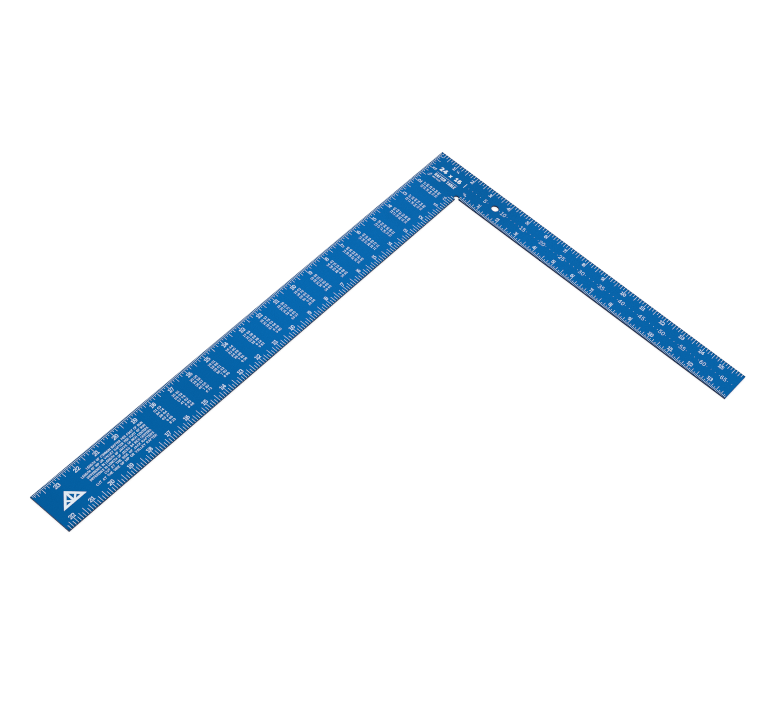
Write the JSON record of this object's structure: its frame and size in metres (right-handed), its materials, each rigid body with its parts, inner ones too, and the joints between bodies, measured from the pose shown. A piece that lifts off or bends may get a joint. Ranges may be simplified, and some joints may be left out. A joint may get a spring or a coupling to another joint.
{
  "type": "framing square",
  "caption": "Flat L-shaped carpenter's framing square of anodised sheet with inch scales, rafter table, octagon scale and a hang hole.",
  "frame": {"origin": "outer heel corner on the back face, where the outer edges of blade and tongue meet", "axes": "+X along the blade's outer edge to the blade end, +Y along the tongue's outer edge to the tongue end, +Z out of the marked face"},
  "size_m": [0.6096, 0.4064, 0.0025],
  "materials": {
    "anodised_plate": "satin blue anodised, fine brushed grain",
    "etched_mark": "matt near-white laser-etched marking"
  },
  "bodies": {
    "root": {"plate": "anodised_plate", "blade_outer_graduations": "etched_mark", "blade_outer_numerals": "etched_mark", "blade_inner_graduations": "etched_mark", "blade_inner_numerals": "etched_mark", "tongue_outer_graduations": "etched_mark", "tongue_outer_numerals": "etched_mark", "tongue_inner_graduations": "etched_mark", "tongue_inner_numerals": "etched_mark", "rafter_table_figures": "etched_mark", "rafter_table_row_titles": "etched_mark", "octagon_scale_dots": "etched_mark", "octagon_scale_numerals": "etched_mark", "scale_fraction_labels": "etched_mark", "blade_emblem": "etched_mark", "heel_legend": "etched_mark"}
  },
  "joints": []
}
